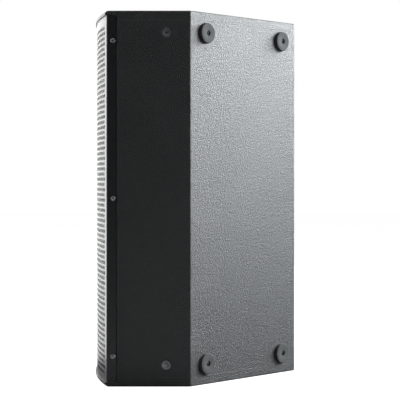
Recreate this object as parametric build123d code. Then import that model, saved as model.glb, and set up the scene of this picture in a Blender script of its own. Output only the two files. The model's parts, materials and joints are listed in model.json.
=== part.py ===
from build123d import *
import math
import os

# Compact loudspeaker cabinet standing on one end.
# Millimetres. +Z is up along the long axis, -Y is the front, +X is the side with the plugged rigging points.
# The origin is the centre of the footprint, at the floor.

# Cabinet
HEIGHT = 600.0
WIDTH = 400.0
SIDE_DEPTH = 134.0
ANGLED_IN = 196.0
ANGLED_BACK = 178.0
EDGE_TANGENT = 15.5
WALL = 15.0
BAFFLE_THICK = 18.0
BAFFLE_SETBACK = 16.0
BRACE_THICK = 15.0
BRACE_RIM = 32.0
LIP = 7.5
LIP_PROUD = 2.5
LIP_ROUND = 6.0
EDGE_ROUND = 2.5
CORNER_ROUND = 3.0

# Grille
SHEET = 1.5
GRILLE_GAP = 0.3
FLANGE = 15.0
BEND_RADIUS = 2.5
REBATE_ROUND = 5.0
FOAM = 5.0
GRILLE_SCREW_Y = 10.0
GRILLE_SCREW_END = 48.0
GRILLE_HEAD_R = 3.8
GRILLE_HEAD_H = 1.8

# Rubber feet on the angled face
FOOT_R = 16.8
FOOT_H = 5.5
FOOT_BORE_R = 4.2
FOOT_SEAT = 1.6
FOOT_WASHER_T = 0.8
FOOT_SIDE_INSET = 37.0
FOOT_END_INSET = 33.5
FOOT_SCREW_R = 2.0

# Rigging points
RIG_INSET = 39.0
RIG_END_INSET = 35.0
RIG_FLANGE_R = 8.0
RIG_FLANGE_T = 1.5
RIG_BARREL_R = 5.5
RIG_BORE_R = 3.4
RIG_PLUG_LENGTH = 10.0
RIG_HEX = 4.0

# Pole socket in the bottom end
POLE_BORE_R = 18.25
POLE_DEPTH = 80.0
POLE_WALL = 2.5
POLE_FLANGE_R = 45.0
POLE_FLANGE_T = 3.0
POLE_Y = 20.0
POLE_X = -20.0

# Connector dish and handle
DISH_W = 150.0
DISH_H = 110.0
DISH_DEPTH = 30.0
DISH_Z = 130.0
HANDLE_W = 110.0
HANDLE_H = 180.0
HANDLE_DEPTH = 42.0
HANDLE_Z = 262.0
HANDLE_Y = 15.0
HANDLE_BAR_R = 9.0
CUP_WALL = 2.5
CUP_FLANGE = 13.0
CUP_FLANGE_T = 3.0
CUP_ROUND = 12.0
SOCKET_R = 12.5
SOCKET_WALL = 1.5
SOCKET_DEPTH = 22.0
SOCKET_FLANGE = 31.0
SOCKET_PITCH = 40.0
SOCKET_POST_R = 7.0
SOCKET_POST_TOP = 16.0
CONTACT_R = 1.2

# Woofer
WOOFER_R = 155.0
WOOFER_CUT_R = 142.0
WOOFER_END = 175.0
WOOFER_FLANGE_T = 5.0
WOOFER_PCD_R = 150.2
WOOFER_SCREWS = 8
SURROUND_R = 141.0
SURROUND_LIP = 4.2
SURROUND_T = 1.1
ROLL_LEVEL = 3.0
CONE_R = 128.0
COIL_R = 37.5
POLE_PIECE_R = 37.0
GAP_OUTER_R = 39.2
MAGNET_R = 85.0
TOP_PLATE_R = 80.0
BASKET_BACK = 84.0
SPIDER_LEVEL = -70.0
DUST_CAP_R = 50.0
FORMER_T = 0.4
WINDING_T = 0.7

# Waveguide and compression drivers
GUIDE_W = 350.0
GUIDE_H = 200.0
GUIDE_END = 112.0
GUIDE_FLANGE_T = 6.0
GUIDE_MOUTH_W = 308.0
GUIDE_MOUTH_H = 160.0
GUIDE_SLOT_W = 286.0
GUIDE_SLOT_H = 27.0
GUIDE_DEPTH = 72.0
GUIDE_WALL = 4.0
GUIDE_BOSS_T = 10.0
GUIDE_BOSS_H = 112.0
DRIVER_PITCH = 95.0
DRIVER_COUNT = 3
THROAT_R = 12.7
DRIVER_R = 41.0
DIAPHRAGM_R = 22.8
DRIVER_BOLT = 46.0

# Ports and electronics
PORT_R = 30.0
PORT_WALL = 2.5
PORT_LENGTH = 96.0
PORT_SIDE_INSET = 34.0
PORT_END_INSET = 36.0
BOARD_W = 130.0
BOARD_H = 150.0
BOARD_T = 1.6
BOARD_ABOVE_BRACE = 24.0
STANDOFF = 10.0
WIRE_R = 3.0
CLEARANCE = 0.3

# Worked out from the sizes above
FRONT_RADIUS = WIDTH / 2 / math.sin(math.radians(EDGE_TANGENT))
BULGE = FRONT_RADIUS * (1 - math.cos(math.radians(EDGE_TANGENT)))
DEPTH = LIP_PROUD + BULGE + SIDE_DEPTH + ANGLED_BACK
Y_BEND = -DEPTH / 2 + LIP_PROUD + BULGE
Y_RIDGE = Y_BEND + SIDE_DEPTH
Y_REAR = Y_RIDGE + ANGLED_BACK
Y_ARC = Y_BEND + FRONT_RADIUS - BULGE
Y_BAFFLE = Y_BEND + BAFFLE_SETBACK
HALF = WIDTH / 2
REAR_EDGE_X = HALF - ANGLED_IN
REAR_MID_X = (REAR_EDGE_X - HALF) / 2
ANGLED_LENGTH = math.hypot(ANGLED_IN, ANGLED_BACK)
OUT_X = ANGLED_BACK / ANGLED_LENGTH
OUT_Y = ANGLED_IN / ANGLED_LENGTH
WOOFER_Z = WOOFER_END + WALL
GUIDE_Z = HEIGHT - WALL - GUIDE_END
BRACE_Z = (WOOFER_Z + WOOFER_CUT_R + GUIDE_Z - GUIDE_H / 2) / 2 + 6
BOSS_BACK = GUIDE_DEPTH + GUIDE_BOSS_T
BRACE_TOP = BRACE_Z + BRACE_THICK
BOARD_Z = BRACE_TOP + BOARD_ABOVE_BRACE + BOARD_H / 2
FAR = 2 * (WIDTH + HEIGHT + DEPTH)

# Working planes: local X runs along the face, local Y is up, local Z points outwards
RIGHT = Plane(origin=(HALF, 0, 0), x_dir=(0, 1, 0), z_dir=(1, 0, 0))
LEFT = Plane(origin=(-HALF, 0, 0), x_dir=(0, -1, 0), z_dir=(-1, 0, 0))
REAR = Plane(origin=(0, Y_REAR, 0), x_dir=(-1, 0, 0), z_dir=(0, 1, 0))
ANGLED = Plane(origin=(HALF, Y_RIDGE, 0), x_dir=(-OUT_Y, OUT_X, 0), z_dir=(OUT_X, OUT_Y, 0))
BAFFLE = Plane(origin=(0, Y_BAFFLE, 0), x_dir=(1, 0, 0), z_dir=(0, -1, 0))
BOTTOM = Plane(origin=(0, 0, 0), x_dir=(1, 0, 0), z_dir=(0, 0, -1))


def at(plane, u, v, out=0.0):
    """Location on a working plane, at u along it, v up it and a distance outwards."""
    return plane.location * Pos(u, v, out)


def rod(radius, low, high):
    """Cylinder along local Z between two heights."""
    return Pos(0, 0, (low + high) / 2) * Cylinder(radius, high - low)


def ring(outer, inner, low, high):
    """Tube along local Z between two heights."""
    return rod(outer, low, high) - rod(inner, low - 1, high + 1)


def slab(width, height, low, high, corner=0.0):
    """Plate centred on local Z, with rounded corners where a radius is given."""
    outline = RectangleRounded(width, height, corner) if corner else Rectangle(width, height)
    return Pos(0, 0, low) * extrude(outline, high - low)


def turned(*points):
    """Solid of revolution about local Z from (radius, height) points."""
    line = Polyline(*[(r, 0, h) for r, h in points], close=True)
    return revolve(make_face(line), Axis.Z)


def group(solids):
    """Separate solids kept in one node."""
    return Compound(children=list(solids))


def cut(body, tools):
    """Body with every tool taken away."""
    for tool in tools:
        body = body - tool
    return body


def screw(head_r, head_h, shank_r, length, hexagon):
    """Low-head socket screw: the seat of its head is at height 0 and its shank points down."""
    head = rod(head_r, 0, head_h)
    head = fillet(head.edges().sort_by(Axis.Z)[-1], head_h * 0.4)
    socket = Pos(0, 0, head_h * 0.35) * extrude(RegularPolygon(hexagon / 2, 6, major_radius=False), head_h)
    return head - socket + rod(shank_r, -length, 0)


# Cabinet shell ------------------------------------------------------------------------------------

def outer_corners():
    return [
        (HALF, Y_BEND),
        (HALF, Y_RIDGE),
        (REAR_EDGE_X, Y_REAR),
        (-HALF, Y_REAR),
        (-HALF, Y_BEND),
    ]


def inset_corner(before, corner, after, inset):
    """Corner of the outline that lies a given distance inside two neighbouring walls."""
    d1 = Vector(*corner) - Vector(*before)
    d2 = Vector(*after) - Vector(*corner)
    n1 = Vector(-d1.Y, d1.X).normalized()
    n2 = Vector(-d2.Y, d2.X).normalized()
    shift = (n1 + n2) * (inset / (1 + n1.dot(n2)))
    return (corner[0] + shift.X, corner[1] + shift.Y)


def inner_corners(inset):
    a, b, c, d, e = outer_corners()
    return [
        (HALF - inset, Y_BEND),
        inset_corner(a, b, c, inset),
        inset_corner(b, c, d, inset),
        inset_corner(c, d, e, inset),
        (-HALF + inset, Y_BEND),
    ]


def front_arc_y(radius, x):
    return Y_ARC - math.sqrt(radius ** 2 - x ** 2)


def solid_block():
    """The cabinet before it is hollowed, with its lips and roundovers."""
    ridge, rear_edge, rear_corner = outer_corners()[1:4]
    lip_radius = FRONT_RADIUS + LIP_PROUD
    corner_y = front_arc_y(lip_radius, HALF)
    front = ThreePointArc((-HALF, corner_y), (0, Y_ARC - lip_radius), (HALF, corner_y))
    sides = Polyline((HALF, corner_y), ridge, rear_edge, rear_corner, (-HALF, corner_y))
    block = extrude(make_face(front + sides), HEIGHT)
    posts = [edge for edge in block.edges().filter_by(Axis.Z) if edge.center().Y > Y_BEND + 1]
    block = fillet(posts, CORNER_ROUND)
    arcs = [edge for edge in block.edges().filter_by(GeomType.CIRCLE) if edge.radius > HALF]
    block = fillet(arcs, LIP_ROUND)
    rims = [edge for edge in block.edges() if is_rim(edge)]
    return fillet(rims, EDGE_ROUND)


def is_rim(edge):
    """Edges round either end that are still sharp."""
    z = edge.center().Z
    flat = edge.bounding_box().size.Z < 0.01
    return flat and (z < 0.01 or z > HEIGHT - 0.01) and edge.center().Y > Y_BEND + 1


def front_recess():
    """Room for the grille between the two lips, following its curve."""
    span = HEIGHT - 2 * LIP
    front = Pos(0, Y_BEND - FAR / 2 + BULGE, HEIGHT / 2) * Box(FAR, FAR, span)
    backing = Pos(0, Y_ARC, HEIGHT / 2) * Cylinder(FRONT_RADIUS - SHEET - BEND_RADIUS, span + 1)
    return front - backing


def flange_rebate(side):
    """Shallow recess in a side for the grille's flange."""
    depth = SHEET + GRILLE_GAP
    width = FLANGE + 1.5 + BULGE
    pocket = extrude(RectangleRounded(width, HEIGHT - 2 * LIP, REBATE_ROUND), 10)
    mouth = Pos(-width / 4, 0, 0) * Box(width / 2, HEIGHT - 2 * LIP, 30)
    turn = 1 if side is RIGHT else -1
    centre = turn * (Y_BEND + FLANGE + 1.5 - width / 2)
    cutter = pocket + (mouth if side is RIGHT else mirror(mouth, Plane.YZ))
    cutter = cutter & (Pos(0, 0, 5) * Box(FAR, FAR, 10))
    return at(side, centre, HEIGHT / 2, -depth) * cutter


def cavity():
    outline = inner_corners(WALL)
    outline[0] = (outline[0][0], -DEPTH)
    outline[-1] = (outline[-1][0], -DEPTH)
    return Pos(0, 0, WALL) * extrude(make_face(Polyline(*outline, close=True)), HEIGHT - 2 * WALL)


def wall_region(first, second):
    """Everything between two mitres of the shell, between the end panels."""
    outer = outer_corners()
    inner = inner_corners(WALL)
    outer[0] = (HALF, -DEPTH)
    inner[0] = (HALF - WALL, -DEPTH)
    outer[4] = (-HALF, -DEPTH)
    inner[4] = (-HALF + WALL, -DEPTH)
    quad = Polyline(outer[first], outer[second], inner[second], inner[first], close=True)
    return Pos(0, 0, WALL) * extrude(make_face(quad), HEIGHT - 2 * WALL)


def mirror_signs():
    return [(sx, sz) for sx in (-1, 1) for sz in (-1, 1)]


def end_heights(inset):
    return [inset, HEIGHT - inset]


def grille_screw_heights():
    return [GRILLE_SCREW_END, HEIGHT / 2, HEIGHT - GRILLE_SCREW_END]


def grille_screw_places():
    depth = -GRILLE_GAP
    right = [at(RIGHT, Y_BEND + GRILLE_SCREW_Y, z, depth) for z in grille_screw_heights()]
    left = [at(LEFT, -Y_BEND - GRILLE_SCREW_Y, z, depth) for z in grille_screw_heights()]
    return right + left


def foot_places():
    along = [FOOT_SIDE_INSET, ANGLED_LENGTH - FOOT_SIDE_INSET]
    return [at(ANGLED, u, z) for u in along for z in end_heights(FOOT_END_INSET)]


def rig_places(side):
    turn = 1 if side is RIGHT else -1
    return [at(side, turn * (Y_RIDGE - RIG_INSET), z) for z in end_heights(RIG_END_INSET)]


def panels():
    shell = solid_block() - front_recess() - flange_rebate(RIGHT) - flange_rebate(LEFT) - cavity()
    top = shell & (Pos(0, 0, HEIGHT - WALL / 2) * Box(FAR, FAR, WALL))
    bottom = shell & (Pos(0, 0, WALL / 2) * Box(FAR, FAR, WALL))
    right = shell & wall_region(0, 1)
    angled = shell & wall_region(1, 2)
    rear = shell & wall_region(2, 3)
    left = shell & wall_region(3, 4)
    grille_pilots = [p * rod(1.5, -14, 5) for p in grille_screw_places()]
    rig_holes = [p * rig_hole() for side in (RIGHT, LEFT) for p in rig_places(side)]
    right = cut(right, grille_pilots + rig_holes)
    left = cut(left, grille_pilots + rig_holes + [handle_place() * handle_hole()])
    angled = cut(angled, [p * rod(FOOT_SCREW_R, -12, 5) for p in foot_places()])
    rear = cut(rear, [dish_place() * dish_hole()])
    bottom = cut(bottom, [pole_place() * pole_hole()])
    return {
        "end_panel_top": top,
        "end_panel_bottom": bottom,
        "side_panel_right": right,
        "side_panel_left": left,
        "angled_panel": angled,
        "rear_panel": rear,
    }


def baffle():
    board = at(BAFFLE, 0, HEIGHT / 2) * slab(WIDTH - 2 * WALL, HEIGHT - 2 * WALL, -BAFFLE_THICK, 0)
    tools = [woofer_place() * rod(WOOFER_CUT_R, -FAR, 5)]
    tools += [woofer_place() * Pos(p.X, p.Y, 0) * rod(2.5, -FAR, 5) for p in woofer_screw_points()]
    around = 2 * GUIDE_WALL + 2
    opening = slab(GUIDE_MOUTH_W + around, GUIDE_MOUTH_H + around, -FAR, 5)
    tools += [guide_place() * opening]
    tools += [guide_place() * Pos(x, z, 0) * rod(2.0, -12, 5) for x, z in guide_screw_points()]
    tools += [p * rod(PORT_R + PORT_WALL, -FAR, 5) for p in port_places()]
    return cut(board, tools)


def brace():
    """Window brace across the cabinet between the woofer and the waveguide."""
    outline = inner_corners(WALL)
    front = Y_BAFFLE + BAFFLE_THICK
    outline[0] = (outline[0][0], front)
    outline[-1] = (outline[-1][0], front)
    window = inner_corners(WALL + BRACE_RIM)
    window[0] = (window[0][0], front + BRACE_RIM)
    window[-1] = (window[-1][0], front + BRACE_RIM)
    plate = extrude(make_face(Polyline(*outline, close=True)), BRACE_THICK)
    hole = Pos(0, 0, -1) * extrude(make_face(Polyline(*window, close=True)), BRACE_THICK + 2)
    return Pos(0, 0, BRACE_Z) * (plate - hole)


# Grille -------------------------------------------------------------------------------------------

def grille_profile(shrink):
    """Closed outline of the grille's section, pulled in by the sheet where shrink is its thickness."""
    half = HALF - GRILLE_GAP
    radius = FRONT_RADIUS
    y = front_arc_y(radius, half)
    back = Y_BEND + 4 * FLANGE
    arc = ThreePointArc((-half, y), (0, Y_ARC - radius), (half, y))
    face = make_face(arc + Polyline((half, y), (half, back), (-half, back), (-half, y)))
    bends = face.vertices().sort_by(Axis.Y)[:2]
    face = fillet(bends, BEND_RADIUS)
    return offset(face, -shrink) if shrink else face


def grille():
    section = grille_profile(0) - grille_profile(SHEET)
    band = Pos(0, Y_BEND + FLANGE - FAR / 2, 0) * Rectangle(FAR, FAR)
    section = section & band
    low = LIP + GRILLE_GAP
    sheet = Pos(0, 0, low) * extrude(section, HEIGHT - 2 * low)
    ends = [e for e in sheet.edges().filter_by(Axis.X) if e.center().Y > Y_BEND + FLANGE - 0.1]
    sheet = fillet(ends, REBATE_ROUND)
    return cut(sheet, [p * rod(1.8, -5, 5) for p in grille_screw_places()])


def grille_foam():
    """Acoustic foam bonded behind the grille."""
    outer = FRONT_RADIUS - SHEET - 2 * GRILLE_GAP
    low = WALL + 1
    tube = Pos(0, Y_ARC, HEIGHT / 2) * ring_z(outer, outer - FOAM, HEIGHT - 2 * low)
    keep = Pos(0, Y_ARC - FAR / 2, HEIGHT / 2) * Box(WIDTH - 2 * WALL - 4, FAR, HEIGHT)
    return tube & keep


def ring_z(outer, inner, height):
    return Cylinder(outer, height) - Cylinder(inner, height + 1)


def grille_screws():
    shape = screw(GRILLE_HEAD_R, GRILLE_HEAD_H, 1.5, 13, 2.5)
    return group([p * shape for p in grille_screw_places()])


# Feet and rigging ---------------------------------------------------------------------------------

def rubber_feet():
    body = rod(FOOT_R, 0, FOOT_H)
    body = fillet(body.edges().sort_by(Axis.Z)[-1], 1.2)
    body = body - rod(FOOT_BORE_R, FOOT_SEAT, FOOT_H + 1) - rod(FOOT_SCREW_R + 0.3, -1, 3)
    return group([p * body for p in foot_places()])


def foot_washers():
    top = FOOT_SEAT + FOOT_WASHER_T
    washer = ring(FOOT_BORE_R - 0.2, FOOT_SCREW_R + 0.2, FOOT_SEAT, top)
    return group([p * washer for p in foot_places()])


def foot_screws():
    seat = FOOT_SEAT + FOOT_WASHER_T
    shape = Pos(0, 0, seat) * screw(3.6, 2.2, FOOT_SCREW_R, 14, 2.5)
    return group([p * shape for p in foot_places()])


def rig_hole():
    return rod(RIG_FLANGE_R, -RIG_FLANGE_T - 0.2, 5) + rod(RIG_BARREL_R, -FAR / 8, 0)


def rigging_inserts():
    body = rod(RIG_FLANGE_R, -RIG_FLANGE_T - 0.2, -0.2) + rod(RIG_BARREL_R, -WALL, -RIG_FLANGE_T)
    body = body - rod(RIG_BORE_R, -WALL - 1, 1)
    return group([p * body for side in (RIGHT, LEFT) for p in rig_places(side)])


def rigging_plugs():
    body = rod(RIG_BORE_R, -RIG_PLUG_LENGTH, -0.5)
    socket = Pos(0, 0, -3.5) * extrude(RegularPolygon(RIG_HEX / 2, 6, major_radius=False), 5)
    return group([p * (body - socket) for p in rig_places(RIGHT)])


# Pole socket --------------------------------------------------------------------------------------

def pole_place():
    return BOTTOM.location * Pos(POLE_X, -POLE_Y, 0)


def pole_hole():
    hole = rod(POLE_FLANGE_R, -POLE_FLANGE_T, 5) + rod(POLE_BORE_R + POLE_WALL, -FAR / 8, 0)
    for pilot in pole_screw_points():
        hole += pilot * rod(2.1, -11, 0)
    return hole


def pole_socket():
    outer = rod(POLE_FLANGE_R, -POLE_FLANGE_T, -0.4)
    outer += rod(POLE_BORE_R + POLE_WALL, -POLE_DEPTH - POLE_WALL, -POLE_FLANGE_T)
    body = outer - rod(POLE_BORE_R, -POLE_DEPTH, 1)
    return pole_place() * cut(body, [p * rod(2.1, -10, 5) for p in pole_screw_points()])


def pole_screw_points():
    radius = (POLE_FLANGE_R + POLE_BORE_R + POLE_WALL) / 2
    return [Rot(0, 0, 45 + 90 * k) * Pos(radius, 0, 0) for k in range(4)]


# Recessed cups: connector dish and handle -----------------------------------------------------------

def dish_place():
    return at(REAR, -REAR_MID_X, DISH_Z)


def handle_place():
    return at(LEFT, -HANDLE_Y, HANDLE_Z)


def cup_hole(width, height):
    rim = slab(width, height, -CUP_FLANGE_T, 5, CUP_ROUND)
    inner_w = width - 2 * CUP_FLANGE
    inner_h = height - 2 * CUP_FLANGE
    return rim + slab(inner_w, inner_h, -FAR / 8, 0, CUP_ROUND - 3)


def cup(width, height, depth):
    """Moulded cup with a flat flange, sunk flush into a panel."""
    inner_w = width - 2 * CUP_FLANGE
    inner_h = height - 2 * CUP_FLANGE
    body = slab(width - CLEARANCE, height - CLEARANCE, -CUP_FLANGE_T, -0.2, CUP_ROUND)
    body += slab(inner_w - CLEARANCE, inner_h - CLEARANCE, -depth, -CUP_FLANGE_T, CUP_ROUND - 3)
    hollow_w = inner_w - 2 * CUP_WALL
    hollow_h = inner_h - 2 * CUP_WALL
    return body - slab(hollow_w, hollow_h, -depth + CUP_WALL, 5, CUP_ROUND - 5)


def cup_screw_points(width, height):
    across = width / 2 - CUP_FLANGE / 2
    up = height / 2 - CUP_FLANGE / 2
    return [(sx * across, sz * up) for sx, sz in mirror_signs()]


def cup_screws(width, height):
    body = rod(2.9, -1.6, -0.5) + rod(1.5, -11, -1.6)
    body = body - Pos(0, 0, -1.3) * extrude(RegularPolygon(1.2, 6, major_radius=False), 5)
    return [Pos(x, z, 0) * body for x, z in cup_screw_points(width, height)]


def cup_screw_holes(width, height):
    hole = rod(3.1, -1.6, 5) + rod(1.5, -CUP_FLANGE_T - 0.1, 0)
    return [Pos(x, z, 0) * hole for x, z in cup_screw_points(width, height)]


def screw_pilots(points, radius=1.5, depth=12):
    return [Pos(x, z, 0) * rod(radius, -depth, 0) for x, z in points]


def dish_hole():
    body = cup_hole(DISH_W, DISH_H)
    for pilot in screw_pilots(cup_screw_points(DISH_W, DISH_H)):
        body += pilot
    return body


def handle_hole():
    body = cup_hole(HANDLE_W, HANDLE_H)
    for pilot in screw_pilots(cup_screw_points(HANDLE_W, HANDLE_H)):
        body += pilot
    return body


def socket_places():
    half = SOCKET_PITCH / 2
    return [Pos(s * half, 0, -DISH_DEPTH + CUP_WALL) for s in (-1, 1)]


def connector_dish():
    body = cut(cup(DISH_W, DISH_H, DISH_DEPTH), cup_screw_holes(DISH_W, DISH_H))
    outer = SOCKET_R + SOCKET_WALL
    body = cut(body, [p * rod(outer, -10, 10) for p in socket_places()])
    body = cut(body, [p * q * rod(1.3, -10, 10) for p in socket_places() for q in socket_screw_points()])
    return dish_place() * body


def handle_cup():
    body = cut(cup(HANDLE_W, HANDLE_H, HANDLE_DEPTH), cup_screw_holes(HANDLE_W, HANDLE_H))
    return handle_place() * body


def handle_bar_depth():
    return -HANDLE_BAR_R - CUP_FLANGE_T - 1


def handle_bar():
    reach = HANDLE_H - 2 * CUP_FLANGE - 2 * CUP_WALL - CLEARANCE
    bar = Rot(90, 0, 0) * Cylinder(HANDLE_BAR_R, reach)
    return handle_place() * Pos(0, 0, handle_bar_depth()) * bar


def socket_screw_points():
    half = SOCKET_FLANGE / 2 - 3.5
    return [Pos(s * half, s * half, 0) for s in (-1, 1)]


def speaker_socket():
    """Round four-pole panel socket with a short central post."""
    outer = SOCKET_R + SOCKET_WALL
    flange = slab(SOCKET_FLANGE, SOCKET_FLANGE, 0, 2, 2)
    shell = rod(outer, -SOCKET_DEPTH, 2)
    body = flange + shell - rod(SOCKET_R, -SOCKET_DEPTH + 3, 5)
    body += rod(SOCKET_POST_R, -SOCKET_DEPTH + 1, -SOCKET_POST_TOP)
    body = cut(body, [q * rod(1.6, -1, 5) for q in socket_screw_points()])
    return cut(body, [q * rod(CONTACT_R, -SOCKET_DEPTH - 1, 0) for q in contact_points()])


def contact_points():
    radius = SOCKET_POST_R - 2.4
    return [Rot(0, 0, 45 + 90 * k) * Pos(radius, 0, 0) for k in range(4)]


def speaker_sockets():
    return group([dish_place() * p * speaker_socket() for p in socket_places()])


def socket_contacts():
    pin = rod(CONTACT_R, -SOCKET_DEPTH - 5, -SOCKET_POST_TOP - 0.4)
    places = [p * q for p in socket_places() for q in contact_points()]
    return group([dish_place() * q * pin for q in places])


def socket_screws():
    body = Pos(0, 0, 2) * screw(2.4, 1.4, 1.3, 8, 1.6)
    places = [p * q for p in socket_places() for q in socket_screw_points()]
    return group([dish_place() * q * body for q in places])


def panel_screws():
    """Screws of the dish, the handle and the pole socket."""
    dish = [dish_place() * s for s in cup_screws(DISH_W, DISH_H)]
    handle = [handle_place() * s for s in cup_screws(HANDLE_W, HANDLE_H)]
    pole = [pole_place() * p * rod(2.1, -11, -1.0) for p in pole_screw_points()]
    return group(dish + handle + pole)


# Woofer: local Z points to the front, height 0 is the front of the baffle -----------------------------

def woofer_place():
    return at(BAFFLE, 0, WOOFER_Z)


def woofer_screw_points():
    step = 360 / WOOFER_SCREWS
    angles = [math.radians(step * (k + 0.5)) for k in range(WOOFER_SCREWS)]
    return [Vector(WOOFER_PCD_R * math.cos(a), WOOFER_PCD_R * math.sin(a)) for a in angles]


def woofer_basket():
    back = BASKET_BACK
    body = turned(
        (WOOFER_R, WOOFER_FLANGE_T), (WOOFER_R, 0), (139, 0), (139, -22), (96, -66),
        (96, -back), (45, -back), (45, 3 - back), (93, 3 - back), (93, -73), (88, -73),
        (88, -70), (93, -70), (93, -65), (135, -22), (135, -3),
        (SURROUND_R, 0.5), (SURROUND_R, WOOFER_FLANGE_T),
    )
    window = Pos(120, 0, -42) * Box(90, 46, 30)
    windows = [Rot(0, 0, 60 * k + 30) * window for k in range(6)]
    holes = [Pos(p.X, p.Y, 0) * rod(2.7, -5, 10) for p in woofer_screw_points()]
    return woofer_place() * cut(body, windows + holes)


def woofer_gasket():
    level = WOOFER_FLANGE_T + 1
    return woofer_place() * ring(SURROUND_R + SURROUND_LIP, SURROUND_R + 0.6, level, level + 3)


def woofer_screws():
    shape = Pos(0, 0, WOOFER_FLANGE_T) * screw(4.4, 3.5, 2.5, 22, 4)
    return group([woofer_place() * Pos(p.X, p.Y, 0) * shape for p in woofer_screw_points()])


def former_outer():
    return COIL_R + FORMER_T


def cone_level(radius):
    """Height of the cone's front at a radius."""
    neck = former_outer()
    return -52 + 53 * (radius - neck) / (CONE_R - neck)


def woofer_cone():
    neck = former_outer()
    body = turned((neck, -52), (CONE_R, 1), (CONE_R, 0), (neck, -53.2))
    return woofer_place() * body


def woofer_surround():
    """Half-roll between the cone's edge and the basket, with a flat lip on the basket's flange."""
    seat = WOOFER_FLANGE_T
    roll_r = (SURROUND_R - CONE_R) / 2
    roll = Torus(SURROUND_R - roll_r, roll_r) - Torus(SURROUND_R - roll_r, roll_r - SURROUND_T)
    roll = roll & rod(2 * SURROUND_R, 0, 2 * roll_r)
    body = Pos(0, 0, ROLL_LEVEL) * roll
    body += ring(CONE_R + SURROUND_T, CONE_R, 0, ROLL_LEVEL)
    body += ring(SURROUND_R, SURROUND_R - SURROUND_T, ROLL_LEVEL, seat + 1)
    body += ring(SURROUND_R + SURROUND_LIP, SURROUND_R - SURROUND_T, seat, seat + 1)
    return woofer_place() * body


def dome(rim, rise, thickness):
    """Thin spherical cap standing on height 0."""
    radius = (rim ** 2 + rise ** 2) / (2 * rise)
    shell = Sphere(radius) - Sphere(radius - thickness)
    above = Pos(0, 0, radius) * Box(4 * radius, 4 * radius, 2 * radius)
    return Pos(0, 0, rise - radius) * (shell & Pos(0, 0, radius - rise) * above)


def woofer_dust_cap():
    return woofer_place() * Pos(0, 0, cone_level(DUST_CAP_R)) * dome(DUST_CAP_R, 16, 0.8)


def woofer_spider():
    """Corrugated suspension between the former and the ledge of the basket."""
    neck = former_outer()
    steps = 12
    swing = 1.8
    radii = [neck + 3 + (88 - neck - 3) * k / steps for k in range(steps + 1)]
    middle = [(r, swing * (k % 2)) for k, r in enumerate(radii[:-1])]
    front = [(neck, 0.5)] + [(r, h + 0.5) for r, h in middle] + [(88, 0.5), (92.5, 0.5)]
    back = [(92.5, 0), (88, 0)] + [(r, h) for r, h in reversed(middle)] + [(neck, 0)]
    points = [(r, SPIDER_LEVEL + h) for r, h in front + back]
    return woofer_place() * turned(*points)


def voice_coil_former():
    return woofer_place() * ring(former_outer(), COIL_R, -100, -52)


def voice_coil():
    return woofer_place() * ring(former_outer() + WINDING_T, former_outer(), -97, -79)


def woofer_top_plate():
    return woofer_place() * ring(TOP_PLATE_R, GAP_OUTER_R, -BASKET_BACK - 8, -BASKET_BACK)


def woofer_magnet():
    return woofer_place() * ring(MAGNET_R, 52, -BASKET_BACK - 28, -BASKET_BACK - 8)


def woofer_back_plate():
    back = BASKET_BACK + 28
    plate = rod(TOP_PLATE_R, -back - 8, -back) + rod(POLE_PIECE_R, -back, -BASKET_BACK + 1)
    return woofer_place() * (plate - rod(12, -back - 9, 0))


def woofer_terminals():
    block = Pos(101, 0, -76) * Box(18, 26, 10) - rod(96, -FAR / 8, 0)
    tabs = [Pos(114, s * 7, -76) * Box(8, 6, 0.8) for s in (-1, 1)]
    return woofer_place() * Rot(0, 0, 90) * (block + tabs[0] + tabs[1])


# Waveguide and compression drivers --------------------------------------------------------------------

def guide_place():
    return at(BAFFLE, 0, GUIDE_Z)


def guide_screw_points():
    across = GUIDE_W / 2 - 7
    up = GUIDE_H / 2 - 7
    corners = [(sx * across, sz * up) for sx, sz in mirror_signs()]
    return corners + [(0, up), (0, -up), (across, 0), (-across, 0)]


def flare(grow, front):
    """Tapering passage from the mouth to the slot."""
    levels = [front, -GUIDE_DEPTH * 0.45, -GUIDE_DEPTH]
    shares = [0, 0.62, 1]
    sections = Sketch()
    for level, share in zip(levels, shares):
        width = GUIDE_MOUTH_W + (GUIDE_SLOT_W - GUIDE_MOUTH_W) * share + 2 * grow
        height = GUIDE_MOUTH_H + (GUIDE_SLOT_H - GUIDE_MOUTH_H) * share + 2 * grow
        sections += Pos(0, 0, level) * Rectangle(width, height)
    return loft(sections)


def driver_offsets():
    middle = (DRIVER_COUNT - 1) / 2
    return [(k - middle) * DRIVER_PITCH for k in range(DRIVER_COUNT)]


def bolt_points():
    return [(x, s * DRIVER_BOLT) for x in driver_offsets() for s in (-1, 1)]


def waveguide():
    body = slab(GUIDE_W, GUIDE_H, 0.8, GUIDE_FLANGE_T, 8) + flare(GUIDE_WALL, 0.8)
    body += slab(GUIDE_SLOT_W + 16, GUIDE_BOSS_H, -BOSS_BACK, -GUIDE_DEPTH)
    body = body - flare(0, GUIDE_FLANGE_T)
    body = body - Pos(0, 0, GUIDE_FLANGE_T) * Box(GUIDE_MOUTH_W, GUIDE_MOUTH_H, GUIDE_FLANGE_T)
    throat = rod(THROAT_R, -BOSS_BACK - 1, -GUIDE_DEPTH + 1)
    screw_hole = rod(2.1, -1, 9)
    bolt_hole = rod(2.5, -BOSS_BACK - 1, -GUIDE_DEPTH)
    body = cut(body, [Pos(x, 0, 0) * throat for x in driver_offsets()])
    body = cut(body, [Pos(x, z, 0) * screw_hole for x, z in guide_screw_points()])
    return guide_place() * cut(body, [Pos(x, z, 0) * bolt_hole for x, z in bolt_points()])


def guide_gasket():
    body = slab(GUIDE_W, GUIDE_H, 0, 0.8, 8) - slab(GUIDE_MOUTH_W + 10, GUIDE_MOUTH_H + 10, -1, 2)
    return guide_place() * cut(body, [Pos(x, z, 0) * rod(2.1, -1, 9) for x, z in guide_screw_points()])


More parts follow.
